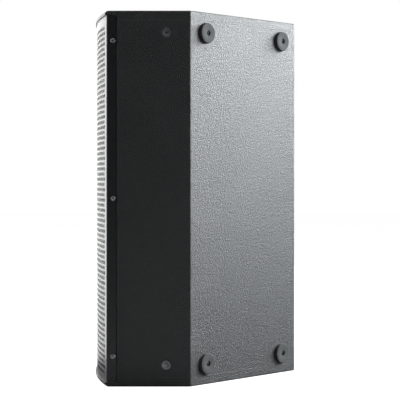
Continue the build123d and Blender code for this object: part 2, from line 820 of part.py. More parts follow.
def guide_screws():
    shape = Pos(0, 0, GUIDE_FLANGE_T) * screw(3.8, 2.4, 2.0, 17, 2.5)
    return group([guide_place() * Pos(x, z, 0) * shape for x, z in guide_screw_points()])


def driver_places():
    return [guide_place() * Pos(x, 0, -BOSS_BACK) for x in driver_offsets()]


def driver_fronts():
    """Front plate and pole with a conical exit."""
    plate = rod(DRIVER_R, -6, 0) + slab(24, 2 * DRIVER_BOLT + 14, -6, 0, 5)
    body = plate + rod(21.5, -24, -6)
    exit_cone = turned((0, 1), (THROAT_R, 1), (THROAT_R, -1), (8, -25), (0, -25))
    body = cut(body - exit_cone, [Pos(0, s * DRIVER_BOLT, 0) * rod(2.8, -9, 9) for s in (-1, 1)])
    return group([p * body for p in driver_places()])


def driver_phase_plugs():
    body = turned((0, -4), (5.5, -23.6), (7.6, -23.9), (7.9, -24.6), (0, -24.6))
    spokes = Pos(0, 0, -23.2) * Box(15.6, 1.2, 1.0)
    return group([p * (body + spokes) for p in driver_places()])


def driver_magnets():
    return group([p * ring(DRIVER_R, 29, -18, -6) for p in driver_places()])


def driver_top_plates():
    return group([p * ring(DRIVER_R, 24.2, -24, -18) for p in driver_places()])


def driver_diaphragm():
    coil = ring(DIAPHRAGM_R + 0.4, DIAPHRAGM_R - 0.6, -26.4, -17.5)
    return coil + Pos(0, 0, -26.2) * Rot(180, 0, 0) * dome(DIAPHRAGM_R, 7.2, 0.4)


def driver_rings():
    """Clamping ring and flexible edge round each diaphragm."""
    body = ring(37.5, 23.6, -24.8, -24)
    return group([p * body for p in driver_places()])


def driver_caps():
    body = rod(DRIVER_R, -44, -24) - rod(DRIVER_R - 3, -41, -23)
    body = fillet(body.edges().filter_by(GeomType.CIRCLE).sort_by(Axis.Z)[0], 3)
    return group([p * body for p in driver_places()])


def driver_screws():
    body = Rot(180, 0, 0) * screw(4.6, 4.0, 2.5, 15, 4)
    return group([guide_place() * Pos(x, z, -BOSS_BACK - 6) * body for x, z in bolt_points()])


# Ports, electronics and wiring --------------------------------------------------------------------------

def port_places():
    across = HALF - WALL - PORT_SIDE_INSET
    return [at(BAFFLE, s * across, WALL + PORT_END_INSET) for s in (-1, 1)]


def port_tubes():
    body = ring(PORT_R + PORT_WALL, PORT_R, -PORT_LENGTH, 0)
    return group([p * body for p in port_places()])


def board_place():
    return at(REAR, -REAR_MID_X + 4, BOARD_Z, -WALL)


def board_corners():
    across = BOARD_W / 2 - 6
    up = BOARD_H / 2 - 6
    return [(sx * across, sz * up) for sx, sz in mirror_signs()]


def crossover():
    level = -STANDOFF
    back = level - BOARD_T
    board = slab(BOARD_W, BOARD_H, back, level, 3)
    board = cut(board, [Pos(x, z, 0) * rod(1.6, -99, 0) for x, z in board_corners()])
    posts = [Pos(x, z, 0) * rod(3.5, level, 0) for x, z in board_corners()]
    bolts = [Pos(x, z, back) * Rot(180, 0, 0) * screw(2.8, 2.0, 1.5, 1.2, 1.6) for x, z in board_corners()]
    coils = [Pos(x, z, back) * ring(r, r * 0.45, -h, 0) for x, z, r, h in coil_layout()]
    cap = Rot(90, 0, 0) * Cylinder(9, 38)
    caps = [Pos(x, z, back - 9.5) * cap for x, z in ((-14, 46), (12, 46), (-46, 0))]
    resistors = [Pos(x, -4, back - 5) * Box(10, 48, 10) for x in (44, 28)]
    where = board_place()
    return {
        "crossover_board": where * board,
        "crossover_standoffs": group([where * s for s in posts]),
        "crossover_screws": group([where * s for s in bolts]),
        "crossover_coils": group([where * s for s in coils]),
        "crossover_capacitors": group([where * s for s in caps]),
        "crossover_resistors": group([where * s for s in resistors]),
    }


def coil_layout():
    return [(-34, -46, 25, 24), (30, -50, 20, 20), (-8, 4, 16, 16)]


def wire(points, radius):
    """Insulated lead through the cabinet, straight runs joined by tangent arcs."""
    start = Vector(*points[0])
    run = Vector(*points[1]) - start
    path = FilletPolyline(*points, radius=radius)
    return sweep(Plane(origin=start, z_dir=run) * Circle(WIRE_R), path)


def wiring():
    rear_x = REAR_MID_X
    board_y = Y_REAR - WALL - STANDOFF - 12
    dish_back = Y_REAR - DISH_DEPTH - SOCKET_DEPTH - 3
    run_y = Y_REAR - WALL - BRACE_RIM - 34
    low = BOARD_Z - BOARD_H / 2
    over = BRACE_TOP + 10
    input_points = [
        (rear_x, dish_back, DISH_Z),
        (rear_x, run_y, DISH_Z),
        (rear_x, run_y, over),
        (rear_x, board_y, over),
        (rear_x, board_y, low - 1),
    ]
    lead_x = rear_x + 60
    woofer_back = Y_BAFFLE + 76
    woofer_top = WOOFER_Z + 118.3
    woofer_points = [
        (0, woofer_back, woofer_top),
        (0, woofer_back, woofer_top + 16),
        (0, woofer_back + 40, woofer_top + 16),
        (lead_x, run_y, BRACE_Z - 16),
        (lead_x, run_y, over),
        (lead_x, board_y, over),
        (lead_x, board_y, low - 1),
    ]
    return {"input_wiring": wire(input_points, 5), "woofer_wiring": wire(woofer_points, 5)}


def wadding():
    """Soft damping pad on the inside of the left panel, above the handle."""
    low = BRACE_Z + BRACE_THICK + 4
    high = HEIGHT - WALL - 4
    depth = Y_REAR - WALL - 4 - (Y_BAFFLE + BAFFLE_THICK + 4)
    middle = Y_BAFFLE + BAFFLE_THICK + 4 + depth / 2
    pad = Pos(-HALF + WALL + 6.3, middle, (low + high) / 2) * Box(12, depth, high - low)
    return fillet(pad.edges().filter_by(Axis.X), 8)


def build():
    nodes = panels()
    nodes["baffle"] = baffle()
    nodes["brace"] = brace()
    nodes["grille"] = grille()
    nodes["grille_foam"] = grille_foam()
    nodes["grille_screws"] = grille_screws()
    nodes["rubber_feet"] = rubber_feet()
    nodes["foot_washers"] = foot_washers()
    nodes["foot_screws"] = foot_screws()
    nodes["rigging_inserts"] = rigging_inserts()
    nodes["rigging_plugs"] = rigging_plugs()
    nodes["pole_socket"] = pole_socket()
    nodes["connector_dish"] = connector_dish()
    nodes["handle_cup"] = handle_cup()
    nodes["handle_bar"] = handle_bar()
    nodes["speaker_sockets"] = speaker_sockets()
    nodes["socket_contacts"] = socket_contacts()
    nodes["socket_screws"] = socket_screws()
    nodes["panel_screws"] = panel_screws()
    nodes["woofer_basket"] = woofer_basket()
    nodes["woofer_gasket"] = woofer_gasket()
    nodes["woofer_screws"] = woofer_screws()
    nodes["woofer_cone"] = woofer_cone()
    nodes["woofer_surround"] = woofer_surround()
    nodes["woofer_dust_cap"] = woofer_dust_cap()
    nodes["woofer_spider"] = woofer_spider()
    nodes["voice_coil_former"] = voice_coil_former()
    nodes["voice_coil"] = voice_coil()
    nodes["woofer_top_plate"] = woofer_top_plate()
    nodes["woofer_magnet"] = woofer_magnet()
    nodes["woofer_back_plate"] = woofer_back_plate()
    nodes["woofer_terminals"] = woofer_terminals()
    nodes["waveguide"] = waveguide()
    nodes["waveguide_gasket"] = guide_gasket()
    nodes["waveguide_screws"] = guide_screws()
    nodes["driver_fronts"] = driver_fronts()
    nodes["driver_phase_plugs"] = driver_phase_plugs()
    nodes["driver_magnets"] = driver_magnets()
    nodes["driver_top_plates"] = driver_top_plates()
    nodes["driver_rings"] = driver_rings()
    for number, place in enumerate(driver_places(), 1):
        nodes[f"driver_diaphragm_{number}"] = place * driver_diaphragm()
    nodes["driver_caps"] = driver_caps()
    nodes["driver_screws"] = driver_screws()
    nodes["port_tubes"] = port_tubes()
    nodes.update(crossover())
    nodes.update(wiring())
    nodes["wadding"] = wadding()
    return nodes


os.makedirs("parts", exist_ok=True)
for name, shape in build().items():
    export_step(shape, f"parts/{name}.step")
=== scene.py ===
import json
import math

import bmesh
import bpy
from mathutils import Matrix, Vector

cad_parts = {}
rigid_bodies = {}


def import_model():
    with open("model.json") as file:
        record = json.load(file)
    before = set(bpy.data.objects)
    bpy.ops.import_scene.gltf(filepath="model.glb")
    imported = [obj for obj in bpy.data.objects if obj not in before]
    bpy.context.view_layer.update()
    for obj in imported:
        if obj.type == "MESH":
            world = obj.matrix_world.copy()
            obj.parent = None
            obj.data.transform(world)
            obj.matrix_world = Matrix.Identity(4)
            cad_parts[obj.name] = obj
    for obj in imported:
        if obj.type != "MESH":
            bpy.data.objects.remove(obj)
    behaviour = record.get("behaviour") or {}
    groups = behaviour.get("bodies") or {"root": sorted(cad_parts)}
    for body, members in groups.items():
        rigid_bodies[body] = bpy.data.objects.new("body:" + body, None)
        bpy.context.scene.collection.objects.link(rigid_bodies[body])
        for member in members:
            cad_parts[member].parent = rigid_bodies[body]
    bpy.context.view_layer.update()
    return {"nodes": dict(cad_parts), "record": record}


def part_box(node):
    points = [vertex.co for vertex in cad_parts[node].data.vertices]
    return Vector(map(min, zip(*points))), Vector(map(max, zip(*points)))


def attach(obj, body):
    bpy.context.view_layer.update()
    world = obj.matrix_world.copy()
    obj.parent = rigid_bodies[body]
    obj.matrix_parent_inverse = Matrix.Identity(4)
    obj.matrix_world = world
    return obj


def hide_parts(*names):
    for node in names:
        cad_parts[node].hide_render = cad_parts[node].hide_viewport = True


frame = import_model()
NODES = frame["nodes"]

# ---------------------------------------------------------------- sizes (metres)

# Read from the frame's boxes, except the grille's sheet, flange and bend, which a box doesn't give
GRILLE_LOW, GRILLE_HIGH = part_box("grille")
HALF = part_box("end_panel_top")[1].x
RIDGE_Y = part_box("side_panel_right")[1].y
SHEET = 0.0015
FLANGE = 0.015
BEND_RADIUS = 0.0025
GRILLE_HALF = GRILLE_HIGH.x
BULGE = GRILLE_HIGH.y - FLANGE - GRILLE_LOW.y
FRONT_RADIUS = (GRILLE_HALF ** 2 + BULGE ** 2) / (2 * BULGE)
ARC_Y = GRILLE_LOW.y + FRONT_RADIUS


# ---------------------------------------------------------------- camera, floor and light

CAMERA_DISTANCE = 2.285
CAMERA_BESIDE_RIDGE = 0.0151
CAMERA_HEIGHT = 0.3305
LENS = 129.0
LENS_SHIFT = -0.0512
FLOOR_REACH = 12.0
FLOOR_GREY = 0.2
FLOOR_GLOW = 0.985
EVEN_LIGHT = 0.03


def aim(thing, target):
    thing.rotation_euler = (Vector(target) - thing.location).to_track_quat("-Z", "Y").to_euler()


def make_camera():
    """Level view square on to the side with the plugged rigging points."""
    data = bpy.data.cameras.new("camera")
    data.sensor_width = 36.0
    data.lens = LENS
    data.shift_y = LENS_SHIFT
    data.clip_end = 50.0
    camera = bpy.data.objects.new("camera", data)
    camera.location = (HALF + CAMERA_DISTANCE, RIDGE_Y + CAMERA_BESIDE_RIDGE, CAMERA_HEIGHT)
    camera.rotation_euler = (math.radians(90), 0, math.radians(90))
    bpy.context.scene.collection.objects.link(camera)
    bpy.context.scene.camera = camera


def softbox(name, place, target, size, watts, tint=(1, 1, 1)):
    data = bpy.data.lights.new(name, "AREA")
    data.shape = "RECTANGLE"
    data.size, data.size_y = size
    data.energy = watts
    data.color = tint
    light = bpy.data.objects.new(name, data)
    light.location = place
    light.visible_camera = False
    aim(light, target)
    bpy.context.scene.collection.objects.link(light)


def make_world():
    """White behind the object for the eye, and a dimmer even light for everything else."""
    world = bpy.data.worlds.new("studio")
    bpy.context.scene.world = world
    bpy.context.scene.view_settings.view_transform = "Standard"
    world.use_nodes = True
    nodes, links = world.node_tree.nodes, world.node_tree.links
    nodes.clear()
    seen = nodes.new("ShaderNodeBackground")
    seen.inputs["Color"].default_value = (1, 1, 1, 1)
    seen.inputs["Strength"].default_value = 1.0
    lit = nodes.new("ShaderNodeBackground")
    lit.inputs["Color"].default_value = (0.95, 0.97, 1, 1)
    lit.inputs["Strength"].default_value = EVEN_LIGHT
    rays = nodes.new("ShaderNodeLightPath")
    mix = nodes.new("ShaderNodeMixShader")
    out = nodes.new("ShaderNodeOutputWorld")
    links.new(rays.outputs["Is Camera Ray"], mix.inputs["Fac"])
    links.new(lit.outputs[0], mix.inputs[1])
    links.new(seen.outputs[0], mix.inputs[2])
    links.new(mix.outputs[0], out.inputs["Surface"])


def make_floor():
    """Pale paper that looks as white as the background and throws little light back at the cabinet."""
    mesh = bpy.data.meshes.new("floor")
    turns = [(-1, -1), (1, -1), (1, 1), (-1, 1)]
    corners = [(x * FLOOR_REACH, y * FLOOR_REACH, 0) for x, y in turns]
    mesh.from_pydata(corners, [], [(0, 1, 2, 3)])
    floor = bpy.data.objects.new("floor", mesh)
    bpy.context.scene.collection.objects.link(floor)
    paper = new_material("floor_paper")
    tree = paper.node_tree
    shader = tree.nodes["Principled BSDF"]
    shader.inputs["Base Color"].default_value = (FLOOR_GREY, FLOOR_GREY, FLOOR_GREY, 1)
    shader.inputs["Roughness"].default_value = 0.9
    shader.inputs["Specular IOR Level"].default_value = 0.0
    glow = tree.nodes.new("ShaderNodeEmission")
    glow.inputs["Strength"].default_value = FLOOR_GLOW
    both = tree.nodes.new("ShaderNodeAddShader")
    rays = tree.nodes.new("ShaderNodeLightPath")
    mix = tree.nodes.new("ShaderNodeMixShader")
    tree.links.new(shader.outputs[0], both.inputs[0])
    tree.links.new(glow.outputs[0], both.inputs[1])
    tree.links.new(rays.outputs["Is Camera Ray"], mix.inputs["Fac"])
    tree.links.new(shader.outputs[0], mix.inputs[1])
    tree.links.new(both.outputs[0], mix.inputs[2])
    tree.links.new(mix.outputs[0], tree.nodes["Material Output"].inputs["Surface"])
    mesh.materials.append(paper)


def make_lights():
    """Each softbox by name, place, target, size in metres, watts and tint."""
    softbox("behind_front", (-2.2, -1.5, 0.9), (0, -0.1, 0.3), (2.6, 2.6), 88)
    softbox("rear_side", (-0.4, 2.1, 1.22), (-0.2, 0, 0.7), (2.6, 0.9), 232, (0.94, 0.985, 1.0))
    softbox("front_strip", (0.17, -1.9, 0.75), (0.17, 0, 0.3), (0.5, 1.6), 26)
    softbox("front_bounce", (-1.4, -0.75, 0.004), (-1.4, -0.75, 1), (2.6, 1.4), 34)
    softbox("side_bounce", (0.5, 0.12, 0.004), (0.5, 0.12, 1), (0.5, 0.8), 0.35)
    softbox("ceiling", (0.6, 0, 3.2), (0.2, 0, 0), (3.0, 3.0), 36)


# ---------------------------------------------------------------- materials

def new_material(name):
    """Material with the plain shader, ready for nodes."""
    material = bpy.data.materials.new(name)
    material.use_nodes = True
    return material


def place_nodes(material):
    """Object coordinates, the shader and short hands for making and joining nodes."""
    tree = material.node_tree
    coords = tree.nodes.new("ShaderNodeTexCoord")
    return tree, tree.nodes["Principled BSDF"], coords.outputs["Object"]


def noise(tree, vector, scale, detail=2.0, roughness=0.5):
    node = tree.nodes.new("ShaderNodeTexNoise")
    node.inputs["Scale"].default_value = scale
    node.inputs["Detail"].default_value = detail
    node.inputs["Roughness"].default_value = roughness
    tree.links.new(vector, node.inputs["Vector"])
    return node.outputs["Fac"]


def ramp(tree, value, stops):
    """Colour ramp with (position, grey or colour) stops."""
    node = tree.nodes.new("ShaderNodeValToRGB")
    ends = node.color_ramp.elements
    while len(ends) < len(stops):
        ends.new(0.5)
    for end, (position, colour) in zip(ends, stops):
        end.position = position
        end.color = (*colour, 1) if isinstance(colour, tuple) else (colour, colour, colour, 1)
    tree.links.new(value, node.inputs["Fac"])
    return node.outputs["Color"]


def bump(tree, height, strength, distance, before=None):
    node = tree.nodes.new("ShaderNodeBump")
    node.inputs["Strength"].default_value = strength
    node.inputs["Distance"].default_value = distance
    tree.links.new(height, node.inputs["Height"])
    if before:
        tree.links.new(before, node.inputs["Normal"])
    return node.outputs["Normal"]


def mix_colour(tree, share, first, second):
    node = tree.nodes.new("ShaderNodeMix")
    node.data_type = "RGBA"
    for source, socket in ((share, node.inputs[0]), (first, node.inputs[6])):
        tree.links.new(source, socket)
    node.inputs[7].default_value = (*second, 1)
    return node.outputs[2]


def soft_edges(tree, radius):
    """Normal that rolls over sharp edges, and a mask that is 1 on them."""
    rolled = tree.nodes.new("ShaderNodeBevel")
    rolled.samples = 6
    rolled.inputs["Radius"].default_value = radius
    geometry = tree.nodes.new("ShaderNodeNewGeometry")
    agree = tree.nodes.new("ShaderNodeVectorMath")
    agree.operation = "DOT_PRODUCT"
    tree.links.new(rolled.outputs["Normal"], agree.inputs[0])
    tree.links.new(geometry.outputs["Normal"], agree.inputs[1])
    return rolled.outputs["Normal"], ramp(tree, agree.outputs["Value"], [(0.8, 1), (0.98, 0)])


def textured_paint():
    """Near-black spatter paint: rounded grains about two millimetres apart, lighter on the edges, partly as
    rubbed-thin wear and partly as a painted highlight where the edges catch the light.
    """
    material = new_material("textured_paint")
    tree, shader, place = place_nodes(material)
    grain = noise(tree, place, 560, 2.0, 0.55)
    fine = noise(tree, place, 1100, 2.0)
    patch = noise(tree, place, 9, 2.0)
    rolled, edge = soft_edges(tree, 0.001)
    body = ramp(tree, patch, [(0.3, (0.0085, 0.0088, 0.0095)), (0.7, (0.0115, 0.0118, 0.0125))])
    # the edge mask lifts the colour on every edge: partly wear, partly a painted highlight of edges
    # catching the light
    tree.links.new(mix_colour(tree, edge, body, (0.02, 0.019, 0.019)), shader.inputs["Base Color"])
    tree.links.new(ramp(tree, grain, [(0.3, 0.5), (0.7, 0.36)]), shader.inputs["Roughness"])
    normal = bump(tree, ramp(tree, grain, [(0.32, 0), (0.68, 1)]), 1.0, 0.00048, rolled)
    tree.links.new(bump(tree, fine, 0.35, 0.00012, normal), shader.inputs["Normal"])
    shader.inputs["Specular IOR Level"].default_value = 0.5
    return material


def simple_finish(name, colour, roughness, scale, depth=0.0001, strength=0.3, metallic=0.0, spread=0.25):
    """A finish with uneven colour and gloss and a fine relief of the given scale."""
    material = new_material(name)
    tree, shader, place = place_nodes(material)
    broad = noise(tree, place, scale * 0.06, 3.0)
    fine = noise(tree, place, scale, 3.0, 0.55)
    dark = tuple(c * (1 - spread) for c in colour)
    light = tuple(min(1.0, c * (1 + spread)) for c in colour)
    tree.links.new(ramp(tree, broad, [(0.3, dark), (0.7, light)]), shader.inputs["Base Color"])
    low, high = roughness * 0.85, min(1.0, roughness * 1.15)
    tree.links.new(ramp(tree, fine, [(0.3, low), (0.7, high)]), shader.inputs["Roughness"])
    tree.links.new(bump(tree, fine, strength, depth), shader.inputs["Normal"])
    shader.inputs["Metallic"].default_value = metallic
    return material


def make_materials():
    """Finishes by slot: colour, roughness, grains per metre, relief depth and strength, metal, spread."""
    return {
        "cabinet_paint": textured_paint(),
        "inner_board": simple_finish("stained_board", (0.03, 0.026, 0.022), 0.7, 500),
        "grille_steel": simple_finish("grille_powder_coat", (0.012, 0.0125, 0.016), 0.4, 2200, 0.00005,
                                      0.2),
        "acoustic_foam": simple_finish("open_cell_foam", (0.012, 0.012, 0.013), 0.95, 900, 0.0006, 0.9),
        "foot_rubber": simple_finish("foot_rubber", (0.038, 0.04, 0.041), 0.92, 600, 0.00015, 0.6,
                                     spread=0.15),
        "black_hardware": simple_finish("black_zinc", (0.2, 0.2, 0.21), 0.3, 1500, 0.00003, 0.2, 0.8),
        "foot_steel": simple_finish("blackened_steel", (0.012, 0.012, 0.013), 0.6, 1500, 0.00003, 0.2),
        "bright_hardware": simple_finish("bright_zinc", (0.55, 0.56, 0.58), 0.3, 1500, 0.00003, 0.2, 1.0,
                                         0.08),
        "moulded_plastic": simple_finish("moulded_plastic", (0.02, 0.02, 0.021), 0.5, 1600, 0.00006, 0.35),
        "handle_grip": simple_finish("grip_rubber", (0.022, 0.022, 0.022), 0.75, 1300, 0.0001, 0.4),
        "guide_plastic": simple_finish("guide_plastic", (0.018, 0.018, 0.018), 0.45, 1600, 0.00005, 0.3),
        "gasket_foam": simple_finish("gasket_foam", (0.02, 0.02, 0.02), 0.9, 1200, 0.0003, 0.6),
        "contact_brass": simple_finish("contact_brass", (0.7, 0.52, 0.24), 0.28, 1500, 0.00002, 0.2, 1.0,
                                       0.1),
        "cast_frame": simple_finish("cast_frame", (0.03, 0.03, 0.031), 0.5, 1400, 0.0001, 0.4),
        "cone_paper": simple_finish("cone_paper", (0.022, 0.021, 0.02), 0.85, 1100, 0.0002, 0.6),
        "suspension_cloth": simple_finish("suspension_cloth", (0.05, 0.038, 0.024), 0.9, 1500, 0.0002, 0.6),
        "coil_former": simple_finish("former_film", (0.45, 0.22, 0.06), 0.3, 1200, 0.00002, 0.2),
        "copper_winding": simple_finish("copper_winding", (0.6, 0.26, 0.12), 0.32, 1800, 0.00005, 0.4, 0.8),
        "motor_steel": simple_finish("motor_steel", (0.42, 0.42, 0.44), 0.35, 1500, 0.00003, 0.2, 1.0, 0.1),
        "ferrite": simple_finish("ferrite", (0.05, 0.05, 0.052), 0.6, 1700, 0.0001, 0.4),
        "diaphragm_metal": simple_finish("diaphragm_foil", (0.7, 0.7, 0.72), 0.3, 1500, 0.00002, 0.2, 1.0,
                                         0.05),
        "ring_plastic": simple_finish("ring_plastic", (0.06, 0.06, 0.06), 0.5, 1500),
        "circuit_board": simple_finish("circuit_board", (0.02, 0.11, 0.05), 0.4, 900, 0.00003, 0.3),
        "capacitor_film": simple_finish("capacitor_film", (0.55, 0.42, 0.1), 0.3, 900, 0.00003, 0.2),
        "resistor_ceramic": simple_finish("resistor_ceramic", (0.75, 0.72, 0.66), 0.75, 1500, 0.0001, 0.4),
        "wire_jacket": simple_finish("wire_jacket", (0.02, 0.02, 0.02), 0.5, 1200),
        "wadding_felt": simple_finish("wadding_felt", (0.25, 0.25, 0.26), 0.95, 400, 0.0015, 0.9),
    }


def dress_frame(materials):
    """Gives every CAD node the finish of its material slot; the washers in the feet are blackened."""
    for part in frame["record"]["subparts"]:
        mesh = NODES[part["node"]].data
        finish = "foot_steel" if part["node"] == "foot_washers" else part["material_slot"]
        mesh.materials.clear()
        mesh.materials.append(materials[finish])


# ---------------------------------------------------------------- mesh helpers

def mesh_object(name, vertices, faces, smooth_angle=35):
    mesh = bpy.data.meshes.new(name)
    mesh.from_pydata([tuple(v) for v in vertices], [], faces)
    mesh.validate()
    thing = bpy.data.objects.new(name, mesh)
    bpy.context.scene.collection.objects.link(thing)
    smooth(thing, smooth_angle)
    return thing


def smooth(thing, angle=35):
    thing.data.shade_smooth()
    thing.data.set_sharp_from_angle(angle=math.radians(angle))


def hexagon(apothem):
    """Radius of a hexagon at an angle, as a function."""
    def radius(angle):
        return apothem / math.cos((angle % math.radians(60)) - math.radians(30))
    return radius


def lathe(name, profile, segments=32, smooth_angle=35):
    """Closed turned piece along local Z from (radius or radius function, height) rings, top to bottom."""
    angles = [2 * math.pi * k / segments for k in range(segments)]
    vertices = [(0, 0, profile[0][1])]
    for radius, level in profile:
        for angle in angles:
            r = radius(angle) if callable(radius) else radius
            vertices.append((r * math.cos(angle), r * math.sin(angle), level))
    vertices.append((0, 0, profile[-1][1]))
    faces = []
    last = len(vertices) - 1
    for k in range(segments):
        after = (k + 1) % segments
        faces.append((0, 1 + k, 1 + after))
        for ring in range(len(profile) - 1):
            upper, lower = 1 + ring * segments, 1 + (ring + 1) * segments
            faces.append((upper + k, lower + k, lower + after, upper + after))
        bottom = 1 + (len(profile) - 1) * segments
        faces.append((bottom + after, bottom + k, last))
    return mesh_object(name, vertices, faces, smooth_angle)


def face_frame(direction):
    """Rotation that turns local Z to a level direction and keeps local Y upwards."""
    out = Vector(direction).normalized()
    up = Vector((0, 0, 1))
    return Matrix((up.cross(out), up, out)).transposed()


def turned_ring(name, profile, segments=32, smooth_angle=35):
    """Ring turned about local Z from a closed loop of (radius, height) points."""
    angles = [2 * math.pi * k / segments for k in range(segments)]
    vertices = [(r * math.cos(a), r * math.sin(a), level) for a in angles for r, level in profile]
    count = len(profile)
    faces = []
    for k in range(segments):
        here, there = k * count, (k + 1) % segments * count
        for ring in range(count):
            after = (ring + 1) % count
            faces.append((here + ring, here + after, there + after, there + ring))
    return mesh_object(name, vertices, faces, smooth_angle)


def keep(piece, body, slot, *nodes):
    """Puts a finished piece on its body in place of the CAD nodes it stands for."""
    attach(piece, body)
    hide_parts(*nodes)
    return piece


# ---------------------------------------------------------------- geometry node trees

SAME_POINT = 0.00001


class Tree:
    """Short hands for building one geometry node tree with named inputs."""

    def __init__(self, name, inputs):
        self.tree = bpy.data.node_groups.new(name, "GeometryNodeTree")
        self.ids = {}
        for label, kind in inputs:
            socket = self.tree.interface.new_socket(label, in_out="INPUT", socket_type=kind)
            self.ids[label] = socket.identifier
        self.tree.interface.new_socket("Geometry", in_out="OUTPUT", socket_type="NodeSocketGeometry")
        self.inputs = self.tree.nodes.new("NodeGroupInput").outputs
        self.output = self.tree.nodes.new("NodeGroupOutput").inputs[0]

    def node(self, kind, links=None, values=None, **settings):
        made = self.tree.nodes.new(kind)
        for key, value in settings.items():
            setattr(made, key, value)
        for key, value in (values or {}).items():
            made.inputs[key].default_value = value
        for key, source in (links or {}).items():
            self.tree.links.new(source, made.inputs[key])
        return made.outputs

    def math(self, operation, a, b=None):
        made = self.tree.nodes.new("ShaderNodeMath")
        made.operation = operation
        for index, value in enumerate((a, b)):
            if isinstance(value, (int, float)):
                made.inputs[index].default_value = value
            elif value is not None:
                self.tree.links.new(value, made.inputs[index])
        return made.outputs[0]

    def finish(self, geometry, material):
        real = self.node("GeometryNodeRealizeInstances", {"Geometry": geometry})[0]
        painted = self.node("GeometryNodeSetMaterial", {"Geometry": real, "Material": material})[0]
        self.tree.links.new(painted, self.output)


def run_tree(tree, carrier, settings, name):
    """Runs a tree on an object and returns the result as a plain mesh object."""
    modifier = carrier.modifiers.new(tree.tree.name, "NODES")
    modifier.node_group = tree.tree
    for label, value in settings.items():
        modifier[tree.ids[label]] = value
    bpy.context.view_layer.update()
    evaluated = carrier.evaluated_get(bpy.context.evaluated_depsgraph_get())
    mesh = bpy.data.meshes.new_from_object(evaluated)
    mesh.name = name
    mesh.materials.clear()
    mesh.materials.append(settings["Material"])
    mesh.polygons.foreach_set("material_index", [0] * len(mesh.polygons))
    result = bpy.data.objects.new(name, mesh)
    bpy.context.scene.collection.objects.link(result)
    carrier.modifiers.remove(modifier)
    bpy.data.objects.remove(carrier)
    return result


def copies_tree():
    """Copies of one piece on points, each turned to the point's own facing, with local Y upwards."""
    tree = Tree("copies_on_points", [
        ("Points", "NodeSocketGeometry"),
        ("Piece", "NodeSocketObject"),
        ("Size", "NodeSocketFloat"),
        ("Material", "NodeSocketMaterial"),
    ])
    piece = tree.node("GeometryNodeObjectInfo", {"Object": tree.inputs["Piece"]})["Geometry"]
    turn = tree.node("GeometryNodeInputNamedAttribute", values={"Name": "turn"},
                     data_type="FLOAT_VECTOR")[0]
    rotation = tree.node("FunctionNodeEulerToRotation", {"Euler": turn})[0]
    copies = tree.node("GeometryNodeInstanceOnPoints", {
        "Points": tree.inputs["Points"],
        "Instance": piece,
        "Rotation": rotation,
        "Scale": tree.inputs["Size"],
    })[0]
    tree.finish(copies, tree.inputs["Material"])
    return tree


def copies(name, piece, places, material, tree, smooth_angle=35):
    """places holds (point, level direction) pairs; the piece's local Z is turned to each direction."""
    mesh = bpy.data.meshes.new(name + "_points")
    mesh.from_pydata([tuple(point) for point, _ in places], [], [])
    turns = mesh.attributes.new("turn", "FLOAT_VECTOR", "POINT")
    for slot, (_, direction) in zip(turns.data, places):
        slot.vector = face_frame(direction).to_euler()
    carrier = bpy.data.objects.new(name + "_points", mesh)
    bpy.context.scene.collection.objects.link(carrier)
    made = run_tree(tree, carrier, {"Piece": piece, "Size": 1.0, "Material": material}, name)
    bpy.data.objects.remove(piece)
    smooth(made, smooth_angle)
    return made


def hole_outlines(tree):
    """Circles on a staggered grid: every second row is moved sideways by half a pitch."""
    given = tree.inputs
    span_x = tree.math("MULTIPLY", given["Column Pitch"], tree.math("SUBTRACT", given["Columns"], 1))
    span_y = tree.math("MULTIPLY", given["Row Pitch"], tree.math("SUBTRACT", given["Rows"], 1))
    grid = tree.node("GeometryNodeMeshGrid", {
        "Size X": span_x, "Size Y": span_y, "Vertices X": given["Columns"], "Vertices Y": given["Rows"],
    })["Mesh"]
    index = tree.node("GeometryNodeInputIndex")[0]
    row = tree.math("MODULO", index, given["Rows"])
    odd = tree.math("SUBTRACT", tree.math("MODULO", row, 2.0), 0.5)
    sideways = tree.math("MULTIPLY", tree.math("MULTIPLY", odd, 0.5), given["Column Pitch"])
    shift = tree.node("ShaderNodeCombineXYZ", {"X": sideways, "Y": given["Row Shift"]})[0]
    centres = tree.node("GeometryNodeSetPosition", {"Geometry": grid, "Offset": shift})[0]
    hole = tree.node("GeometryNodeCurvePrimitiveCircle", {
        "Resolution": given["Hole Sides"], "Radius": given["Hole Radius"],
    })[0]
    holes = tree.node("GeometryNodeInstanceOnPoints", {"Points": centres, "Instance": hole})[0]
    return tree.node("GeometryNodeRealizeInstances", {"Geometry": holes})[0]


def sheet_outline(tree):
    """Rim of the sheet as a curve with enough points to follow the bend."""
    given = tree.inputs
    border = tree.node("GeometryNodeMeshGrid", {
        "Size X": given["Width"], "Size Y": given["Height"],
        "Vertices X": given["Edge Steps"], "Vertices Y": given["Edge Steps"],
    })["Mesh"]
    rim = tree.node("GeometryNodeInputMeshEdgeNeighbors")[0]
    single = tree.node("FunctionNodeCompare", {2: rim}, {3: 1}, data_type="INT", operation="EQUAL")[0]
    return tree.node("GeometryNodeMeshToCurve", {"Mesh": border, "Selection": single})[0]


def merged(tree, first, second):
    """Two geometries as one."""
    both = tree.node("GeometryNodeJoinGeometry", {"Geometry": first})[0]
    tree.tree.links.new(second, both.node.inputs[0])
    return both


